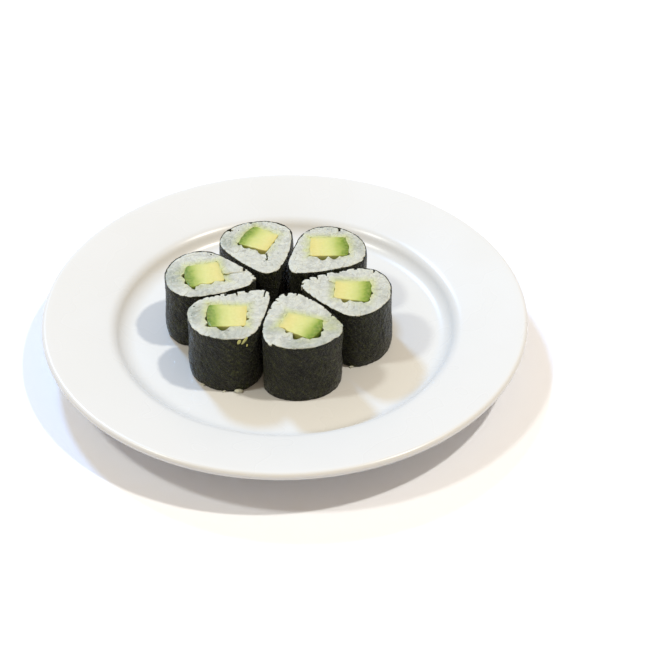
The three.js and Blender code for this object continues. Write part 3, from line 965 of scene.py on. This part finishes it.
def pockets_on(roll, strip, height):
    """A piece's pockets, each on the side of the avocado that its pixel is nearest to."""
    found = []
    for pixel, half_width, deep in roll.pockets:
        place = on_cut(pixel, height)
        gap, edge = strip.gap(place[None])
        outward = strip.sides[edge[0]]
        found.append(Pocket(place - outward * gap[0], outward, half_width, deep))
    return found


def bite_depth(points, pockets):
    """How deep the rice bites into the avocado at points on its outline."""
    depth = np.zeros(len(points))
    for pocket in pockets:
        out, room = pocket.room(points)
        depth = np.maximum(depth, np.where(np.abs(out) < POCKET_CATCH, -room, 0))
    return depth


def emptied(points, pockets, share):
    """Presses rice out of the pockets, by this share of their depth."""
    for pocket in pockets:
        out, room = pocket.room(points)
        room = room * share
        caught = (out > -POCKET_CATCH) & (room > POCKET_LEAST)
        push = np.where(caught, np.maximum(0, room - out), 0)
        points = points + push[:, None] * pocket.outward
    return points


@dataclass(frozen=True)
class Crack:
    """A dark gap between grains: it starts wide at the nori or the avocado and closes inward."""

    start: np.ndarray
    way: np.ndarray
    length: float
    half_width: float

    def gap(self, points):
        """How far points lie to the left of the crack, and its half width beside them."""
        along, aside = beside(points, self.start, self.way)
        share = np.clip(along / self.length, 0, 1)
        reached = (along > -CRACK_LEAD) & (share < 1)
        return aside, np.where(reached, self.half_width * np.sqrt(1 - share**3), 0)


def cracks_on(roll, height):
    """A piece's cracks on its cut face."""
    found = []
    for start, end, half_width in roll.cracks:
        start, end = on_cut(start, height), on_cut(end, height)
        length = np.linalg.norm(end - start)
        found.append(Crack(start, (end - start) / length, length, half_width))
    return found


class Piece:
    """A piece of maki: its numbers, its outlines and the gaps on its cut face."""

    def __init__(self, number, roll):
        self.number = number
        self.roll = roll
        self.outline = Outline(roll)
        self.strip = StripOutline(roll)
        self.cut = heights(f"nori_{roll.name}")[1]
        self.pockets = pockets_on(roll, self.strip, self.cut)
        self.cracks = cracks_on(roll, self.cut)


def parted(points, middles, cracks):
    """Presses grains to one side of each crack, the side that the grain's middle is on."""
    for crack in cracks:
        aside, width = crack.gap(points)
        side = np.where(crack.gap(middles)[0] < 0, -1, 1)
        push = np.where(width > 0, np.maximum(0, width - aside * side), 0) * side
        points = points + push[:, None] * leftward(crack.way)
    return points


def groove_depth(points, cracks):
    """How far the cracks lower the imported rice."""
    depth = np.zeros(len(points))
    for crack in cracks:
        aside, width = crack.gap(points)
        share = smoothstep(width + GROOVE_SIDE[0], width + GROOVE_SIDE[1], np.abs(aside)) * (width > 0)
        depth = np.maximum(depth, CRACK_DEPTH * share)
    return depth


def tucked_in(roll, normals, rise):
    """How far a piece is drawn in by height: rise is 0 at its foot and 1 at its cut.

    It is below 0 where the piece sags outward, on the sides that face the plate's rim.
    """
    direction, depth = roll.tuck
    facing = np.clip(normals @ unit(math.radians(direction)), 0, 1)
    to_rim = np.array([roll.x, roll.y]) / math.hypot(roll.x, roll.y)
    sag = SAG * smoothstep(*SAG_SIDES, normals @ to_rim)
    lower = smoothstep(*SAG_RISE, rise) * (0.5 + 0.5 * smoothstep(*SAG_FOOT, rise))
    return depth * facing**2 * (1 - rise) ** TUCK_FADE - sag * lower


def ragged_share(roll, angle, points):
    """How ragged the rice is at the nori, from 0 to 1: by the outline's direction from the tip, and
    by how far towards the tip points lie."""
    start, end = (math.radians(value) for value in roll.ragged)
    if start == end:
        return np.zeros_like(angle)
    signed = (angle + math.pi) % (2 * math.pi) - math.pi
    begun = smoothstep(start - RAGGED_SOFT, start, signed)
    turned_to = begun * smoothstep(end + RAGGED_SOFT, end, signed)
    along = (points[:, :2] - (roll.x, roll.y)) @ unit(math.radians(roll.turn))
    return turned_to * smoothstep(*RAGGED_FROM, along)


def spread_share(roll, angle):
    """How far the rice is spread over the nori's edge, from 0 to 1, by direction from the tip."""
    share = np.zeros_like(angle)
    for start, end, strength in roll.spreads:
        ahead = (np.degrees(angle) - start) % 360
        stretch = end - start
        within = smoothstep(0, SPREAD_SOFT, ahead) * smoothstep(stretch, stretch - SPREAD_SOFT, ahead)
        share = np.maximum(share, strength * within)
    return share


def lip_share(roll, angle, below):
    """The same for rice this far below the cut."""
    return spread_share(roll, angle) * smoothstep(*LIP_BELOW_CUT, below)


# ------------------------------------------------------------ nori


def nori_edge_drop(piece):
    """How far the nori's cut edge lies below the cut all round."""
    roll, outline = piece.roll, piece.outline
    to_viewer = -outline.normals[:, 1]
    in_front = smoothstep(*NORI_FRONT, to_viewer)
    drop = NORI_BELOW_CUT + (NORI_BELOW_CUT_FRONT - NORI_BELOW_CUT) * in_front
    ragged = ragged_share(roll, outline.angle, outline.points)
    drop = drop + (NORI_SPREAD_DROP - drop) * spread_share(roll, outline.angle)
    drop = drop + (NORI_RAGGED_DROP - drop) * ragged
    samples = np.column_stack([outline.points, np.full(OUTLINE_STEPS, piece.cut)])
    jags = sum(wander(samples, kind) for kind in NORI_JAGS)
    return np.maximum(NORI_LEAST_DROP, drop + jags * (1 + ragged))


def lap_rise(outline):
    """How far the sheet stands out where its end laps over its start, on the flank by the tip."""
    along = (outline.place - NORI_LAP_START * outline.girth) / NORI_LAP
    inside = (along > 0) & (along < 1)
    return np.where(inside, NORI_LAP_STEP * smoothstep(*NORI_LAP_FADE, along), 0.0)


def make_nori(piece, material):
    """The sheet of nori round a piece: rippled over the rice, with an uneven cut edge."""
    outline, number = piece.outline, piece.number
    node = f"nori_{piece.roll.name}"
    low = heights(node)[0]
    top = piece.cut - nori_edge_drop(piece)
    along_foot = np.column_stack([outline.points, np.zeros(OUTLINE_STEPS)])
    bottom = low + NORI_FOOT + wander(along_foot, NORI_FOOT_JAGS)
    share = np.linspace(0, 1, NORI_ROWS)[:, None]
    height = bottom[None] + (top - bottom)[None] * share
    base = np.repeat(outline.points[None], NORI_ROWS, axis=0)
    samples = np.dstack([base, height]).reshape(-1, 3)
    bulges = wander(samples * NORI_BULGE_STRETCH, NORI_BULGES, number)
    creases = NORI_CREASE_RISE - np.abs(wander(samples * NORI_CREASE_STRETCH, NORI_CREASES, number))
    relief = (bulges + creases + wander(samples, NORI_CRINKLE, number)).reshape(NORI_ROWS, -1)
    sink = np.maximum(NORI_LEAST_SINK, NORI_SINK - relief - lap_rise(outline)[None])
    curl = NORI_CURL * smoothstep(NORI_CURL_FROM, 0.0, 1 - share)
    normals = outline.normals[None]
    tuck = tucked_in(piece.roll, outline.normals, share)
    outer = base - normals * (sink + curl + tuck)[..., None]
    inner = base - normals * (sink + curl + tuck + NORI_THICKNESS)[..., None]
    inner_rows = np.dstack([inner, height])[::-NORI_INNER_STEP]
    loop = np.concatenate([np.dstack([outer, height]), inner_rows], axis=0)
    faces = closed_ring_faces(len(loop), OUTLINE_STEPS)
    add_piece(f"{node}_sheet", loop.reshape(-1, 3), faces, material, [node])


# ------------------------------------------------------------ rice


def grain_template():
    """A grain's points along its own X, its radius 1 across, and the faces over them."""
    along = -np.cos(np.linspace(0, math.pi, GRAIN_ALONG + 2))[1:-1]
    radius = (1 - np.abs(along) ** GRAIN_BLUNT) ** (1 / GRAIN_BLUNT)
    around = np.linspace(0, 2 * math.pi, GRAIN_AROUND, endpoint=False)
    rings = np.dstack(
        [
            np.repeat(along[:, None], GRAIN_AROUND, axis=1),
            radius[:, None] * np.cos(around),
            radius[:, None] * np.sin(around),
        ]
    ).reshape(-1, 3)
    points = np.vstack([rings, [(-1, 0, 0), (1, 0, 0)]])
    return points, capped_faces(GRAIN_ALONG, GRAIN_AROUND)


def turn_matrices(yaw, pitch, roll):
    """One rotation for each grain: rolled about its length, tilted, then turned in the plane."""
    cy, sy = np.cos(yaw), np.sin(yaw)
    cp, sp = np.cos(pitch), np.sin(pitch)
    cr, sr = np.cos(roll), np.sin(roll)
    rows = (
        (cy * cp, -sy * cr + cy * sp * sr, sy * sr + cy * sp * cr),
        (sy * cp, cy * cr + sy * sp * sr, -cy * sr + sy * sp * cr),
        (-sp, cp * sr, cp * cr),
    )
    return np.moveaxis(np.array(rows), 2, 0)


def aimed_grain(middle, normal, swing, rng):
    """A grain that points along a normal, give or take a swing: its place and direction."""
    return np.array([*middle, math.atan2(normal[1], normal[0]) + rng.normal(0, swing)])


def edge_grains(piece, rng):
    """Grains that point out over the nori where the rice is ragged: places and directions."""
    found = []
    outline = piece.outline
    ragged = ragged_share(piece.roll, outline.angle, outline.points)
    place = 0.0
    while place < outline.girth:
        index = int(place / outline.girth * OUTLINE_STEPS)
        if ragged[index] > EDGE_RAGGED_LEAST:
            normal = outline.normals[index]
            middle = outline.points[index] - normal * (GRAIN_HALF[0] + rng.uniform(*EDGE_INSIDE))
            found.append(aimed_grain(middle, normal, EDGE_SWING, rng))
        place += rng.uniform(*EDGE_STEP)
    return found


def avocado_grains(strip, rng):
    """Grains that point at the avocado's sides from the viewer's side: places and directions."""
    found = []
    for start, end, normal in zip(strip.loop, np.roll(strip.loop, -1, axis=0), strip.sides):
        length = np.linalg.norm(end - start)
        if normal[1] > BESIDE_MOST_BACK or length < BESIDE_LEAST_SIDE:
            continue
        for place in np.arange(rng.uniform(*BESIDE_FIRST), length, rng.uniform(*BESIDE_STEP)):
            away = GRAIN_HALF[0] + rng.uniform(*BESIDE_AWAY)
            middle = start + (end - start) * place / length + normal * away
            found.append(aimed_grain(middle, normal, BESIDE_SWING, rng))
    return found


def scatter_grains(piece, rng):
    """Places and directions of all grains on a cut face, and how many were aimed."""
    outline = piece.outline
    chosen = edge_grains(piece, rng) + avocado_grains(piece.strip, rng)
    kept = []
    for grain in chosen:
        if all(np.linalg.norm(grain[:2] - other[:2]) > AIMED_GAP for other in kept):
            kept.append(grain)
    low, high = outline.points.min(axis=0), outline.points.max(axis=0)
    tries = rng.uniform(low, high, size=(GRAIN_TRIES, 2))
    depth, _ = outline.depth(tries)
    gap, _ = piece.strip.gap(tries)
    for place in tries[(depth > GRAIN_INSIDE) & (gap > GRAIN_OFF_AVOCADO)]:
        if all(np.linalg.norm(place - other[:2]) > GRAIN_GAP for other in kept):
            kept.append(np.array([*place, rng.uniform(0, math.pi)]))
    return np.array(kept), len(chosen)


def rice_limits(piece, points, top, sides=None):
    """Moves rice off the nori and the avocado, and out of the pockets.

    top is 1 at the cut face that shows and 0 below it, where there are no pockets. sides holds the
    avocado's edge that each point's grain lies beside.
    """
    roll, outline, strip, cut = piece.roll, piece.outline, piece.strip, piece.cut
    plane = points[:, :2].copy()
    depth, nearest = outline.depth(plane)
    normals = outline.sides[nearest]
    ragged = ragged_share(roll, outline.facing[nearest], plane) * top
    lip = lip_share(roll, outline.facing[nearest], cut - points[:, 2]) * top
    margin = RICE_MARGIN + (RICE_SPREAD_MARGIN - RICE_MARGIN) * lip
    margin = margin + (RICE_RAGGED_MARGIN - margin) * ragged
    rise = np.clip((points[:, 2] - WELL_FLOOR) / (cut - WELL_FLOOR), 0, 1)
    margin = margin + tucked_in(roll, normals, rise)
    plane -= normals * np.maximum(0, margin - depth)[:, None]
    gap, edge = strip.gap(plane)
    if sides is not None:
        across = (strip.sides[edge] * strip.sides[sides]).sum(axis=1)
        edge = np.where((gap < 0) & (across < SAME_SIDE), sides, edge)
        gap = (plane * strip.sides[edge]).sum(axis=1) - strip.offsets[edge]
    to_viewer = smoothstep(*CLEARANCE_SIDES, strip.sides[edge][:, 1])
    clearance = BACK_CLEARANCE + (FRONT_CLEARANCE - BACK_CLEARANCE) * to_viewer
    on_edge = plane - strip.sides[edge] * gap[:, None]
    clearance = clearance + wander(np.column_stack([on_edge, points[:, 2] * 0]), CLEARANCE_NOISE)
    clearance = clearance - bite_depth(on_edge, piece.pockets) * top
    plane += strip.sides[edge] * np.maximum(0, clearance - gap)[:, None]
    return np.column_stack([emptied(plane, piece.pockets, top), points[:, 2]])


def loose_grains(places, aimed, rng):
    """Grains of all sizes, bends and tilts, each about its own middle.

    None of the first ones, as many as aimed, stands on end.
    """
    count = len(places)
    template, faces = grain_template()
    size = rng.normal(1, GRAIN_VARIETY, size=(count, 1, 3)) * np.array(GRAIN_HALF)
    points = template[None] * size
    bend = rng.normal(0, GRAIN_BEND, size=(count, 1))
    points[..., 1] += bend * (points[..., 0] ** 2) / GRAIN_HALF[0]
    pitch = rng.normal(0, GRAIN_PITCH, size=count)
    on_end = rng.random(count) < ON_END_SHARE
    on_end[:aimed] = False
    pitch[on_end] = rng.uniform(*ON_END_PITCH, size=on_end.sum())
    turns = turn_matrices(places[:, 2], pitch, rng.uniform(0, math.pi, size=count))
    return np.einsum("gij,gvj->gvi", turns, points), faces


def trimmed(points, places, level, upward, rng):
    """Grains in their places, sunk by various depths and cut off at this height by a soft knife."""
    count = len(places)
    sunk = rng.uniform(*GRAIN_SUNK, size=count)
    points[..., :2] += places[:, None, :2]
    points[..., 2] = points[..., 2] * upward - sunk[:, None]
    slope = rng.normal(0, KNIFE_SLOPE, size=(count, 2))
    off = points[..., :2] - places[:, None, :2]
    knife = rng.uniform(*KNIFE_DEPTH, size=(count, 1)) + (off * slope[:, None]).sum(axis=2)
    below = knife - points[..., 2]
    soft = KNIFE_SOFTNESS * np.logaddexp(0, below / KNIFE_SOFTNESS)
    points[..., 2] = level + (knife - soft) * upward
    return points


def make_grains(piece, face, seed, upward):
    """The grains on the face at this height: one mesh for each, and one tone for each point.

    upward is 1 on the top face and -1 on the one that the piece stands on.
    """
    rng = np.random.default_rng(seed + piece.number)
    places, aimed = scatter_grains(piece, rng)
    points, faces = loose_grains(places, aimed, rng)
    corners = points.shape[1]
    points = trimmed(points, places, face - RICE_BELOW_CUT * upward, upward, rng).reshape(-1, 3)
    if upward > 0:
        middles = np.repeat(places[:, :2], corners, axis=0)
        points[:, :2] = parted(points[:, :2], middles, piece.cracks)
    showing = np.full(len(points), 1.0 if upward > 0 else 0.0)
    sides = np.repeat(piece.strip.gap(places[:, :2])[1], corners)
    points = rice_limits(piece, points, showing, sides)
    depth, _ = piece.outline.depth(points[:, :2])
    points[:, 2] -= EDGE_FALL * smoothstep(*EDGE_FALL_REACH, depth) * upward
    tone = np.repeat(rng.random(len(places)), corners)
    return [(grain, faces) for grain in points.reshape(-1, corners, 3)], tone


def make_core(piece, low):
    """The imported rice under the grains: a closed ring round the avocado."""
    roll, outline, strip, cut = piece.roll, piece.outline, piece.strip, piece.cut
    ways = outline.points - strip.middle
    ways = ways / np.linalg.norm(ways, axis=1)[:, None]
    inner = strip.reach(strip.middle, ways, CORE_OFF_AVOCADO)[:, None] * ways + strip.middle
    outer = outline.reach(strip.middle, ways)[:, None] * ways + strip.middle
    ring_share = (1 - np.cos(np.linspace(0, math.pi, CORE_RINGS))) / 2
    height_share = np.linspace(0, 1, CORE_ROWS + 2)[1:-1] ** CORE_ROWS_UP
    top, bottom = cut - CORE_DEPTH, low + CORE_DEPTH
    rows = [(share, top) for share in ring_share]
    rows += [(1.0, top - (top - bottom) * share) for share in height_share]
    rows += [(share, bottom) for share in ring_share[::-1]]
    rows += [(0.0, bottom + (top - bottom) * (1 - share)) for share in height_share[::-1]]
    points = np.vstack(
        [
            np.column_stack([inner + (outer - inner) * share, np.full(OUTLINE_STEPS, height)])
            for share, height in rows
        ]
    )
    near_top = smoothstep(top - CORE_SHY_BELOW[0], top - CORE_SHY_BELOW[1], points[:, 2])
    points = rice_limits(piece, points, near_top)
    depth, nearest = outline.depth(points[:, :2])
    ragged = ragged_share(roll, outline.facing[nearest], points)
    shy = (CORE_SHY + CORE_SHY_RAGGED * ragged) * near_top
    lip = lip_share(roll, outline.facing[nearest], cut - points[:, 2])
    inset = RICE_MARGIN + shy - (shy + CORE_SPREAD) * lip
    normals = outline.sides[nearest]
    points[:, :2] -= normals * np.maximum(0, inset - depth)[:, None]
    lumps = wander(points, CORE_LUMPS)
    on_top = points[:, 2] > top - LEVEL_SLACK
    edge_fall = EDGE_FALL * smoothstep(*EDGE_FALL_REACH, depth - shy)
    points[:, 2] += np.where(on_top, lumps - edge_fall, 0)
    upper = np.clip((points[:, 2] - top + GROOVE_REACH) / GROOVE_REACH, 0, 1)
    points[:, 2] -= groove_depth(points[:, :2], piece.cracks) * upper
    return points, closed_ring_faces(len(rows), OUTLINE_STEPS)


def spotted(points, spots, cut, blotch):
    """The strongest of the spots at each point: a spot has a pixel, a radius and a strength."""
    strongest = np.zeros(len(points))
    for pixel, radius, strength in spots:
        away = np.linalg.norm(points[:, :2] - on_cut(pixel, cut), axis=1) + blotch
        strongest = np.maximum(strongest, strength * smoothstep(radius, SPOT_FULL * radius, away))
    return strongest


def make_rice(piece, material):
    """A piece's rice: its core with real grains over both cut faces."""
    roll, strip, cut = piece.roll, piece.strip, piece.cut
    node = f"rice_{roll.name}"
    low = heights(node)[0]
    core, core_faces = make_core(piece, low)
    meshes, tones = [(core, core_faces)], [np.full(len(core), CORE_TONE)]
    for level, seed, upward in ((cut, TOP_SEED, 1), (low, UNDERSIDE_SEED, -1)):
        grains, tone = make_grains(piece, level, seed, upward)
        meshes += grains
        tones.append(tone)
    points, faces = joined(meshes)
    gap, edge = strip.gap(points[:, :2])
    blotch = wander(points, BLOTCHES, piece.number)
    behind = smoothstep(*HALO_SIDES, strip.sides[edge][:, 1])
    halo = np.clip(1 - (gap + blotch * HALO_BLOTCH) / HALO_REACH, 0, 1) ** HALO_FADE
    rubbed = halo * (HALO_IN_FRONT + (1 - HALO_IN_FRONT) * behind)
    inside = smoothstep(*INNER_STAIN_BELOW, cut - points[:, 2]) * smoothstep(*INNER_STAIN_REACH, gap)
    spots = spotted(points, roll.stains, cut, blotch * STAIN_BLOTCH)
    marks = {
        "tone": np.concatenate(tones),
        "stain": np.max([rubbed, spots, inside], axis=0),
        # painted shade on the rice, in the spots listed for each piece
        "painted_shade": spotted(points, roll.painted_shade_spots, cut, blotch * PAINTED_SHADE_BLOTCH),
    }
    add_piece(f"{node}_grains", points, faces, material, [node], marks)


# ------------------------------------------------------------ avocado


def make_avocado(piece, material):
    """The avocado strip: softly rounded corners and an almost flat cut, wiped by the knife."""
    strip = piece.strip
    node = f"avocado_{piece.roll.name}"
    low, high = heights(node)
    top = high - AVOCADO_BELOW_CUT
    ways = unit(np.linspace(0, 2 * math.pi, AVOCADO_STEPS, endpoint=False))
    sharp = strip.reach(strip.middle, ways)
    bitten = bite_depth(strip.middle + ways * sharp[:, None], piece.pockets)
    circle = np.column_stack([ways * AVOCADO_WAVER_RADIUS, np.zeros(AVOCADO_STEPS)])
    sharp = sharp - bitten + wander(circle, AVOCADO_WAVER, piece.number)
    eased = sharp.copy()
    for _ in range(AVOCADO_EASING):
        eased = (np.roll(eased, 1) + 2 * eased + np.roll(eased, -1)) / 4
    edge = np.minimum(sharp, eased)
    face_edge = np.maximum(edge - AVOCADO_ROUNDING, 0)
    rows = [(face_edge * share, top) for share in np.linspace(0, 1, AVOCADO_RINGS)[1:]]
    for angle in np.linspace(0, math.pi / 2, AVOCADO_ROUNDING_STEPS)[1:]:
        reach = edge - AVOCADO_ROUNDING * (1 - math.sin(angle))
        rows.append((reach, top - AVOCADO_ROUNDING * (1 - math.cos(angle))))
    for share in np.linspace(0, 1, AVOCADO_ROWS)[1:]:
        rows.append((edge, top - AVOCADO_ROUNDING - (top - AVOCADO_ROUNDING - low) * share))
    rings = [
        np.column_stack([strip.middle + ways * reach[:, None], np.full(AVOCADO_STEPS, height)])
        for reach, height in rows
    ]
    points = np.vstack([*rings, [*strip.middle, top], [*strip.middle, low]])
    on_face = points[:, 2] > top - LEVEL_SLACK
    points[:, 2] += np.where(on_face, wander(points, AVOCADO_LUMPS, piece.number), 0)
    faces = capped_faces(len(rows), AVOCADO_STEPS)
    gap, nearest = strip.gap(points[:, :2])
    away_from_viewer = smoothstep(*PASTE_SIDES, strip.sides[nearest][:, 1])
    marks = {
        "peel": strip.peel(points[:, :2]),
        # deep sets where shade is painted on the sides, below the cut
        "deep": smoothstep(*PAINTED_SHADE_BELOW, top - points[:, 2]),
        "paste": smoothstep(-PASTE_REACH, 0, gap) * away_from_viewer,
    }
    add_piece(f"{node}_strip", points, faces, material, [node], marks)


# ------------------------------------------------------------ flakes, crumbs and smears


def on_wall(piece, pixel):
    """The point of a piece's side that the camera shows at a pixel, and the way out of the side."""
    levels = np.linspace(piece.cut, WELL_FLOOR, WALL_STEPS)
    places = np.array([on_cut(pixel, level) for level in levels])
    depth, nearest = piece.outline.depth(places)
    inside = int(np.argmax(depth > 0))
    return np.append(places[inside], levels[inside]), piece.outline.sides[nearest[inside]]


def blob(place, halves, across, lean=0.0, seed=0):
    """An uneven lump: half sizes across, outward and up, where across is a level unit vector."""
    points, faces = grain_template()
    points = np.column_stack([points[:, 1], points[:, 2], points[:, 0]])
    points = points * (1 + wander(points, BLOB_LUMPS, seed))[:, None] * np.array(halves)
    points[:, 0] += lean * points[:, 2]
    level = points[:, :1] * across - points[:, 1:2] * leftward(across)
    return np.column_stack([level + place[:2], points[:, 2] + place[2]]), faces


def wall_blob(piece, pixel, halves, seed, lean=0.0, sunk=0.0):
    """A lump on a piece's side, level with the cut where it would stand above it."""
    place, outward = on_wall(piece, pixel)
    place[:2] -= outward * sunk
    points, faces = blob(place, halves, leftward(outward), lean, seed)
    points[:, 2] = np.minimum(points[:, 2], piece.cut)
    return points, faces


def add_blobs(name, blobs, material, marks):
    """Joins lumps into one piece, with the same values all over for what the material reads."""
    points, faces = joined(blobs)
    values = {mark: np.full(len(points), value) for mark, value in marks.items()}
    add_piece(name, points, faces, material, marks=values)


def make_flakes(cut, material):
    """Flakes of nori that lie on the rice."""
    blobs = []
    for seed, (pixel, size) in enumerate(FLAKES):
        place = (*on_cut(pixel, cut), cut - FLAKE_BELOW_CUT)
        halves = (size, size * FLAKE_WIDTH, FLAKE_HALF_THICKNESS)
        blobs.append(blob(place, halves, unit(seed * FLAKE_TURN), seed=seed))
    add_blobs("nori_flakes", blobs, material, {})


def make_crumbs(pieces, material):
    """Crumbs of rice at the feet of the pieces, and a bit that hangs over the nori's edge."""
    blobs = []
    for seed, (name, pixel, share, direction) in enumerate(CRUMBS):
        long, wide, thick = (half * share for half in CRUMB_HALF)
        place = on_cut(pixel, WELL_FLOOR + thick)[None]
        depth, nearest = pieces[name].outline.depth(place)
        away = pieces[name].outline.sides[nearest] * np.maximum(0, depth + wide * CRUMB_OFF)[:, None]
        middle = (*(place + away)[0], WELL_FLOOR + thick * CRUMB_LIFT)
        blobs.append(blob(middle, (long, wide, thick), unit(math.radians(direction)), seed=seed))
    for name, pixel, half in OVERHANGS:
        halves = half * np.array(OVERHANG_SHAPE)
        blobs.append(wall_blob(pieces[name], pixel, halves, len(blobs)))
    add_blobs("rice_crumbs", blobs, material, {"tone": 0.9, "stain": 0.1, "painted_shade": 0.0})


def make_smears(pieces, material):
    """Smears of avocado on the sides of the pieces."""
    blobs = []
    for seed, (name, pixel, wide, high, lean) in enumerate(SMEARS):
        halves = (wide, SMEAR_HALF_THICKNESS, high)
        blobs.append(wall_blob(pieces[name], pixel, halves, seed, lean, SMEAR_SUNK))
    add_blobs("avocado_smears", blobs, material, {"peel": 0.5, "deep": 0.0, "paste": 0.6})


# ------------------------------------------------------------ floor, light and camera


def make_floor():
    """A plain pale table."""
    half = FLOOR_WIDTH / 2 * MM
    mesh = bpy.data.meshes.new("table")
    corners = [(-half, -half, 0), (half, -half, 0), (half, half, 0), (-half, half, 0)]
    mesh.from_pydata(corners, [], [(0, 1, 2, 3)])
    recipe = Recipe("table")
    grain = recipe.noise(300.0, detail=2.0)
    warm = tuple(value * 0.995 for value in FLOOR_COLOUR)
    recipe.set(Base_Color=recipe.mix(grain, warm, FLOOR_COLOUR), Roughness=0.7)
    mesh.materials.append(recipe.material)
    table = in_scene("table", mesh)


def make_lights():
    """Three softboxes and a bright room, so that shadows fall three ways in three tints."""
    for name, (way, width, power, colour) in LAMPS.items():
        lamp = bpy.data.lights.new(name, "AREA")
        lamp.shape = "DISK"
        lamp.size = width * MM
        lamp.energy = power
        lamp.color = colour
        lit = in_scene(name, lamp)
        direction = Vector(way).normalized()
        lit.location = direction * LAMP_DISTANCE * MM
        lit.rotation_euler = direction.to_track_quat("Z", "Y").to_euler()
    world = bpy.data.worlds.new("room")
    world.use_nodes = True
    world.node_tree.nodes["Background"].inputs["Color"].default_value = (*SKY, 1.0)
    bpy.context.scene.world = world


def make_camera():
    """The photograph's own view."""
    view = bpy.data.cameras.new("camera")
    view.sensor_width = CAMERA_SENSOR
    view.lens = CAMERA_FOCUS * CAMERA_SENSOR / PHOTO_WIDTH
    camera = in_scene("camera", view)
    camera.location = Vector(CAMERA_PLACE) * MM
    camera.rotation_euler = (CAMERA_TILT, 0, 0)
    bpy.context.scene.camera = camera
    bpy.context.scene.view_settings.view_transform = "Standard"


# ------------------------------------------------------------ the scene

make_camera()
make_lights()
make_floor()
make_plate(porcelain_material())
nori = nori_material()
rice = rice_material()
avocado = avocado_material()
pieces = {roll.name: Piece(number, roll) for number, roll in enumerate(ROLLS)}
for piece in pieces.values():
    make_nori(piece, nori)
    make_rice(piece, rice)
    make_avocado(piece, avocado)
make_flakes(pieces["left"].cut, nori)
make_crumbs(pieces, rice)
make_smears(pieces, avocado)
